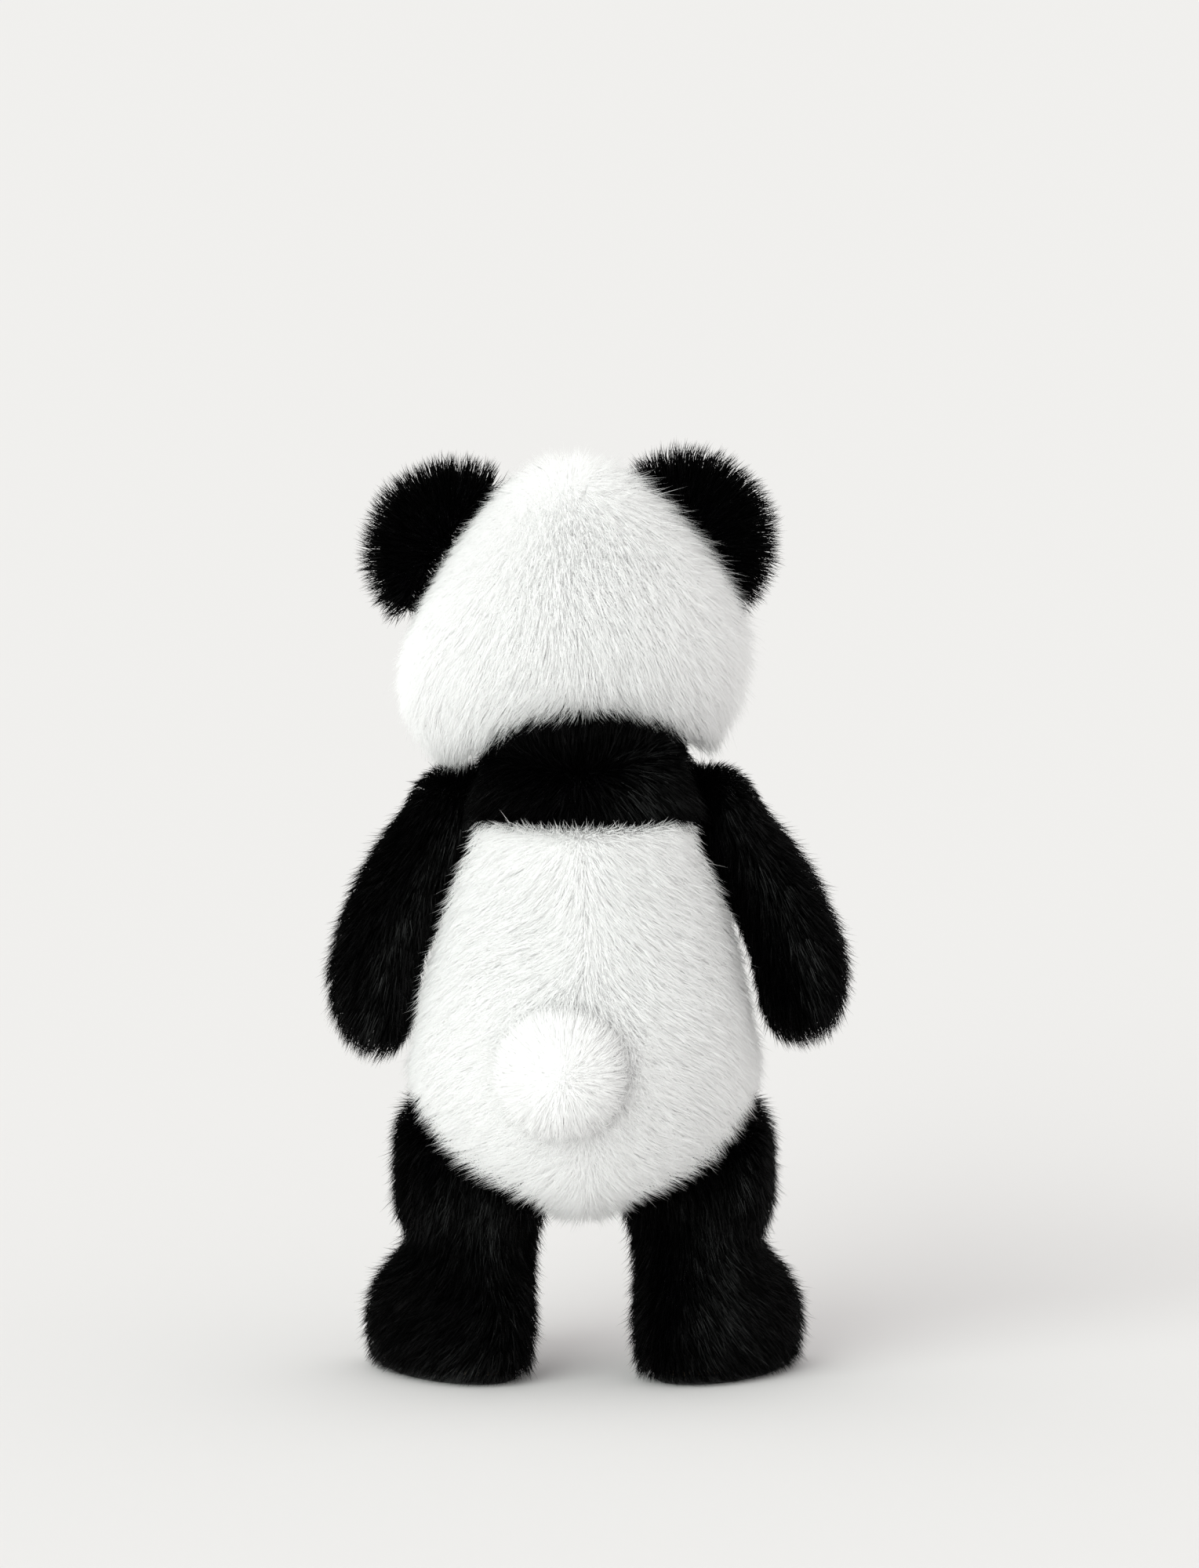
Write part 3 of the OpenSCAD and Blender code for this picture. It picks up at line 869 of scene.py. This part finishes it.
YOKE_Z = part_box("yoke_back")[0][2]
TORSO_PILE = Pile(comb_torso, length=11.5 * MM, lean=0.90, colour=WHITE_PILE)
YOKE_PILE = Pile(comb_yoke, length=11.5 * MM, lean=0.80, colour=BLACK_PILE, room=0.5)
HEAD_PILE = Pile(comb_head, length=10.5 * MM, lean=0.88, colour=WHITE_PILE, room=0.6)
ARM_PILE = Pile(comb_arm, length=10.5 * MM, lean=0.80, colour=BLACK_PILE)
LEG_PILE = Pile(comb_leg, length=10.5 * MM, lean=0.80, colour=BLACK_PILE)
EAR_PILE = Pile(comb_ear, length=8.5 * MM, lean=0.62, colour=BLACK_PILE, density=4, room=0.8)
TAIL_PILE = Pile(comb_tail, length=9.5 * MM, lean=1.12, colour=WHITE_PILE, density=3.5)
PATCH_PILE = Pile(comb_patch, length=5 * MM, lean=0.95, colour=BLACK_PILE, density=8, strays=0.05)
MUZZLE_PILE = Pile(comb_muzzle, length=5.5 * MM, lean=0.85, colour=WHITE_PILE, density=6)


def add_panel(node, surface, body, pile, blockers, shorten=None):
    """A panel's backing, which stands for its CAD node, and the pile that grows on it."""
    black = pile.colour is BLACK_PILE
    fur = grow(node + "_pile", surface, pile, blockers, RNG, shorten)
    thicken(surface, BACKING_THICK)
    surface.data.materials.clear()
    surface.data.materials.append(BLACK_KNIT if black else WHITE_KNIT)
    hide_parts(node)
    for piece in [surface, *fur]:
        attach(piece, body)


def plane_pair(matrix, point, normal):
    """The two sides of one cut."""
    a = moved_plane(matrix, point, normal)
    return a, (a[0], -a[1])


def back_length(points):
    """No pile grows under the tail. It is long round the tail's edge, and short under the armpits."""
    away = np.linalg.norm(points - np.array(TAIL_AT), axis=1)
    long = 1 + 0.35 * bell(away - TAIL_R, 8 * MM)
    beside = rises(np.abs(points[:, 0]), 24 * MM, 12 * MM)
    armpit = beside * reaches(points[:, 2], YOKE_Z, 14 * MM)
    return long * (away > TAIL_R - TAIL_PILE_DEPTH) * (1 - 0.8 * armpit)


def yoke_length(points):
    """The yoke's pile is short along the middle of its lower edge and at its top corners, beside
    the neck, and longer along the rest of its lower edge."""
    middle = falls(np.abs(points[:, 0]), 36 * MM, 12 * MM)
    low = middle * falls(points[:, 2], YOKE_Z + 9 * MM, 9 * MM)
    beside = rises(np.abs(points[:, 0]), 20 * MM, 10 * MM)
    corner = beside * rises(points[:, 2], 190 * MM, 10 * MM)
    hang = 0.25 * fades(points[:, 2], YOKE_Z, 9 * MM) * (1 - middle)
    return 1 - 0.45 * low - 0.75 * corner + hang


def make_torso():
    form = stuffed_form(
        "torso_form", OUTSIDE["torso"] + ["torso_stuffing", "seat_pellet_bag"], BACKING_DEPTH,
        TORSO_VOXEL,
    )
    left, right = plane_pair(WORLD, (0, 0, 0), (1, 0, 0))
    back, front = plane_pair(WORLD, (0, 0, 0), (0, 1, 0))
    above, under = plane_pair(WORLD, (0, 0, YOKE_Z), (0, 0, 1))
    panels = {
        "yoke_back": (YOKE_PILE, [above, back]),
        "yoke_front": (YOKE_PILE, [above, front]),
        "back_panel_left": (TORSO_PILE, [under, back, left]),
        "back_panel_right": (TORSO_PILE, [under, back, right]),
        "belly_panel_left": (TORSO_PILE, [under, front, left]),
        "belly_panel_right": (TORSO_PILE, [under, front, right]),
    }
    for node, (pile, planes) in panels.items():
        surface = cut_out(node + "_backing", form, planes)
        if pile is YOKE_PILE:
            add_panel(node, surface, "torso", pile, OUTSIDE["head"], yoke_length)
        else:
            add_panel(node, surface, "torso", pile, OTHERS["torso"], back_length)
    fibre_z, pellet_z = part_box("torso_stuffing")[0][2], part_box("seat_pellet_bag")[1][2]
    add_filling(
        "torso_stuffing", form, [((0, 0, fibre_z), (0, 0, 1))], "torso", FIBRE
    )
    add_filling(
        "seat_pellet_bag", form, [((0, 0, pellet_z), (0, 0, -1))], "torso", CALICO,
    )
    bpy.data.objects.remove(form)


def ball_form(name, radius, stretch, centre, matrix):
    """A ball, stretched along its axes and set in its place in the frame that matrix gives."""
    bm = bmesh.new()
    bmesh.ops.create_icosphere(bm, subdivisions=5, radius=radius)
    bmesh.ops.scale(bm, vec=stretch, verts=bm.verts)
    bmesh.ops.translate(bm, vec=centre, verts=bm.verts)
    bmesh.ops.transform(bm, matrix=matrix, verts=bm.verts)
    mesh = bpy.data.meshes.new(name)
    bm.to_mesh(mesh)
    bm.free()
    return link_mesh(name, mesh)


TAIL_PILE_DEPTH = 3 * MM  # how far the tail's backing lies under its pile
TAIL_FLATTENED = (1, 0.6, 1)
TAIL_SUNK = Vector((0, 2, 0)) * MM
TAIL_SEAM_Y = 43 * MM


def make_tail():
    """A flattened ball that is sewn onto the back."""
    radius = TAIL_R - TAIL_PILE_DEPTH
    form = ball_form("tail_form", radius, TAIL_FLATTENED, TAIL_AT - TAIL_SUNK, WORLD)
    base = (0, TAIL_SEAM_Y, 0), (0, 1, 0)
    surface = cut_out("tail_skin_backing", form, [base])
    add_panel("tail_skin", surface, "torso", TAIL_PILE, [])
    add_filling("tail_stuffing", form, [base], "torso", FIBRE)
    bpy.data.objects.remove(form)


def head_length(points):
    """The pile is short round the eyes, on the bridge of the nose, in the nape and by the left
    ear, and long by the right ear."""
    p = local(points, HEAD_BACK)
    nape = np.hypot(p[:, 0] / NAPE_HALF, (p[:, 2] - NAPE_Z) / (18 * MM)) + (p[:, 1] < 0)
    face = rises(-p[:, 1], 10 * MM, 30 * MM)
    bridge = np.linalg.norm((p - BRIDGE) / (26 * MM), axis=1)
    by_eye = np.abs(p * (1, 0, 1)) - np.array((EYE_AT.x, 0, EYE_AT.z))
    eye = np.linalg.norm(by_eye / (24 * MM), axis=1) + (p[:, 1] > 0)
    parted = np.clip(nape, 0.3, 1.25)
    by_ear = reaches(np.abs(p) @ TO_EAR, EAR_EDGE, 16 * MM)
    trimmed = 1 + by_ear * np.where(p[:, 0] > 0, -0.6, 0.3)
    short = (1 - 0.35 * face) * np.clip(0.35 + 0.65 * bridge, 0.4, 1) * np.clip(eye, 0.5, 1)
    return short * parted * trimmed


PLUG_R = 9 * MM  # of the balls that close the holes of the eyes' and the nose's stems


def make_head():
    nodes = OUTSIDE["head"] + ["head_stuffing"]
    stems = [(EYE_AT.x, EYE_AT.z), (-EYE_AT.x, EYE_AT.z), (0, MUZZLE_AT.z)]
    plugs = [(HEAD @ Vector((x, EYE_AT.y + PLUG_R, z)), PLUG_R) for x, z in stems]
    form = stuffed_form("head_form", nodes, BACKING_DEPTH, HEAD_VOXEL, cup=NECK, plugs=plugs)
    left, right = plane_pair(HEAD, (0, 0, 0), (1, 0, 0))
    back, front = plane_pair(HEAD, (0, HEAD_SPLIT_Y, 0), (0, 1, 0))
    above, under = plane_pair(HEAD, (0, 0, CHIN_Z), (0, 0, 1))
    side_left, in_left = plane_pair(HEAD, (GUSSET_HALF, 0, 0), (1, 0, 0))
    in_right, side_right = plane_pair(HEAD, (-GUSSET_HALF, 0, 0), (1, 0, 0))
    panels = {
        "head_back_left": [back, left],
        "head_back_right": [back, right],
        "head_side_left": [front, side_left],
        "head_side_right": [front, side_right],
        "head_crown": [front, in_left, in_right, above],
        "head_chin": [front, in_left, in_right, under],
    }
    blockers = OTHERS["head"] + EARS + PATCHES + ["muzzle"]
    for node, planes in panels.items():
        surface = cut_out(node + "_backing", form, planes)
        add_panel(node, surface, "head", HEAD_PILE, blockers, head_length)
    add_filling("head_stuffing", form, [], "head", FIBRE)
    return form


def make_ears():
    for side in ("left", "right"):
        names = ["ear_" + side + "_back", "ear_" + side + "_front"]
        solids = names + ["ear_" + side + "_wadding"]
        form = stuffed_form("ear_form", solids, EAR_BACKING_DEPTH, EAR_VOXEL, cap=0.4 * MM)
        back, front = plane_pair(HEAD, (0, EAR_Y, 0), (0, 1, 0))
        for node, plane in zip(names, (back, front)):
            surface = cut_out(node + "_backing", form, [plane])
            add_panel(node, surface, "head", EAR_PILE, OUTSIDE["head"])
        add_filling("ear_" + side + "_wadding", form, [], "head", FIBRE)
        bpy.data.objects.remove(form)


MUZZLE_PILE_DEPTH = Vector((3, 3, 3)) * MM
MUZZLE_SEAM_Y = -43 * MM


def make_muzzle():
    radii = MUZZLE_RADII - MUZZLE_PILE_DEPTH
    form = ball_form("muzzle_form", 1, radii, MUZZLE_AT, HEAD)
    seam = moved_plane(HEAD, (0, MUZZLE_SEAM_Y, 0), (0, -1, 0))
    surface = cut_out("muzzle_backing", form, [seam])
    add_panel("muzzle", surface, "head", MUZZLE_PILE, OUTSIDE["head"] + ["nose"])
    bpy.data.objects.remove(form)


def near_eye(points):
    """The pile of a patch is shorter where the eye sits in it."""
    p = local(points, HEAD_BACK)
    p[:, 0] = np.abs(p[:, 0])
    away = np.linalg.norm(p - np.array(EYE_AT), axis=1)
    return np.clip((away - 3 * MM) / (6 * MM), 0.5, 1)


PATCH_WIDE, PATCH_HIGH = 10.5, 14  # half the oval's width and height, in mm
PATCH_OFF = (1.5, -2)  # its middle from the eye, outward and up, in mm
PATCH_TILT = math.radians(28)
PATCH_LIFT = 6.4  # in front of the head's backing, in mm, so that the eye sits in its pile
PATCH_RINGS, PATCH_SIDES = 10, 48
BEFORE_FACE = -0.12  # where the rays that look for the face start


def patch_point(tree, side, reach, angle):
    """The point of a patch at this share of its size and this angle round it."""
    x, z = PATCH_WIDE * reach * math.cos(angle), PATCH_HIGH * reach * math.sin(angle)
    across = PATCH_OFF[0] + x * math.cos(PATCH_TILT) + z * math.sin(PATCH_TILT)
    up = PATCH_OFF[1] - x * math.sin(PATCH_TILT) + z * math.cos(PATCH_TILT)
    start = Vector((side * (EYE_AT.x + across * MM), BEFORE_FACE, EYE_AT.z + up * MM))
    at, normal = tree.ray_cast(HEAD @ start, HEAD.to_3x3() @ Vector((0, 1, 0)))[:2]
    return at + normal * PATCH_LIFT * MM


def disc_faces(rings, sides):
    """Triangles round the middle point, and squares between the rings."""
    faces = [(0, 1 + k, 1 + (k + 1) % sides) for k in range(sides)]
    for ring in range(rings - 1):
        base = 1 + ring * sides
        for k in range(sides):
            n = (k + 1) % sides
            faces.append((base + k, base + sides + k, base + sides + n, base + n))
    return faces


def make_patches(head_form):
    """Ovals of black pile that lie on the face round each eye."""
    tree = BVHTree.FromObject(head_form, bpy.context.evaluated_depsgraph_get())
    for side, node in zip((1, -1), PATCHES):
        points = [
            patch_point(tree, side, ring / PATCH_RINGS, 2 * math.pi * k / PATCH_SIDES)
            for ring in range(PATCH_RINGS + 1)
            for k in range(PATCH_SIDES if ring else 1)
        ]
        mesh = bpy.data.meshes.new(node)
        mesh.from_pydata([tuple(p) for p in points], [], disc_faces(PATCH_RINGS, PATCH_SIDES))
        mesh.update()
        if (HEAD_BACK.to_3x3() @ mesh.polygons[0].normal).y > 0:
            mesh.flip_normals()
        surface = link_mesh(node + "_backing", mesh)
        add_panel(node, surface, "head", PATCH_PILE, [], near_eye)


def limb_planes(limb):
    """The outer and the inner side of a limb's two panels."""
    side = 1 if limb.endswith("left") else -1
    if limb.startswith("arm"):
        at = JOINT_AT["shoulder_" + limb[4:]]
        out = Vector((side * math.cos(ARM_SPLIT_LEAN), 0, math.sin(ARM_SPLIT_LEAN)))
    else:
        at = JOINT_AT["hip_" + limb[4:]]
        out = Vector((side * math.cos(LEG_SPLIT_TURN), math.sin(LEG_SPLIT_TURN), 0))
    return plane_pair(WORLD, at, out)


SHOULDER_Z = 178 * MM


def limb_length(points):
    """The pile of an arm is shorter over the shoulder."""
    return 1 - 0.42 * rises(points[:, 2], SHOULDER_Z, 14 * MM)


def make_limb(limb, pile, inside):
    solids = OUTSIDE[limb] + inside
    form = stuffed_form(limb + "_form", solids, BACKING_DEPTH, LIMB_VOXEL, cap=0.8 * MM)
    covers = [n for n in OTHERS[limb] if not n.startswith("yoke")]
    for part, plane in zip(("_outer", "_inner"), limb_planes(limb)):
        surface = cut_out(limb + part + "_backing", form, [plane])
        add_panel(limb + part, surface, limb, pile, covers, limb_length)
    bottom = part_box(limb + "_stuffing")[0][2]
    add_filling(
        limb + "_stuffing", form, [((0, 0, bottom), (0, 0, 1))], limb, FIBRE
    )
    pellets = limb + "_pellet_bag"
    if pellets in NODES:
        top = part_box(pellets)[1][2]
        add_filling(pellets, form, [((0, 0, top), (0, 0, -1))], limb, CALICO)
    bpy.data.objects.remove(form)


SOLE_SHARE = 0.88  # of the foot's width, as the rest of it is pile
SOLE_ROLL = 0.8 * MM


def make_soles():
    """The flat suede pads that the toy stands on, with a rolled edge."""
    for side in ("left", "right"):
        node = "leg_" + side + "_sole"
        bm = bmesh.new()
        bm.from_mesh(NODES[node].data)
        bmesh.ops.remove_doubles(bm, verts=bm.verts, dist=1e-6)
        low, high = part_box(node)
        middle = Matrix.Translation(-(Vector(low) + Vector(high)) / 2)
        bmesh.ops.scale(bm, vec=(SOLE_SHARE, SOLE_SHARE, 1), space=middle, verts=bm.verts)
        flat = math.radians(2)
        bmesh.ops.dissolve_limit(bm, angle_limit=flat, verts=bm.verts, edges=bm.edges)
        rim = [e for e in bm.edges if len(e.link_faces) == 2 and e.calc_face_angle() > 1]
        bmesh.ops.bevel(
            bm, geom=rim, offset=SOLE_ROLL, segments=4, profile=0.5, affect="EDGES",
            clamp_overlap=True,
        )
        mesh = bpy.data.meshes.new(node + "_pad")
        bm.to_mesh(mesh)
        bm.free()
        mesh.materials.append(SUEDE)
        pad = link_mesh(node + "_pad", mesh)
        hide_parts(node)
        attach(pad, "leg_" + side)


def repaint(node, material):
    mesh = NODES[node].data
    for i in range(len(mesh.materials)):
        mesh.materials[i] = material


def make_face_trim():
    eye = principled("eye_gloss_black", (0.002, 0.0015, 0.001), roughness=0.08, specular=0.14)
    nose = principled("nose_moulded_black", (0.002, 0.002, 0.002), roughness=0.35, specular=0.1)
    tree = nose.node_tree
    grain = tree.nodes.new("ShaderNodeTexVoronoi")
    grain.inputs["Scale"].default_value = 1400
    tree.links.new(object_coords(nose), grain.inputs["Vector"])
    add_bump(nose, grain.outputs["Distance"], strength=0.35, distance=0.25 * MM)
    for node in ("eye_left", "eye_right"):
        repaint(node, eye)
        faces = NODES[node].data.polygons
        faces.foreach_set("use_smooth", [True] * len(faces))
    repaint("nose", nose)
    for node in ("eye_washer_left", "eye_washer_right", "nose_washer"):
        repaint(node, WASHER)
    repaint("mouth_stitching", THREAD)


def paint_boards():
    for side in ("left", "right"):
        repaint("leg_" + side + "_sole_board", BOARD)


make_camera()
make_studio()
make_floor()
make_torso()
make_tail()
head_form = make_head()
make_patches(head_form)
bpy.data.objects.remove(head_form)
make_ears()
make_muzzle()
for arm in ("arm_left", "arm_right"):
    make_limb(arm, ARM_PILE, [arm + "_stuffing"])
for leg in ("leg_left", "leg_right"):
    inside = ["_stuffing", "_pellet_bag", "_sole_board", "_sole"]
    make_limb(leg, LEG_PILE, [leg + part for part in inside])
make_soles()
make_face_trim()
paint_boards()
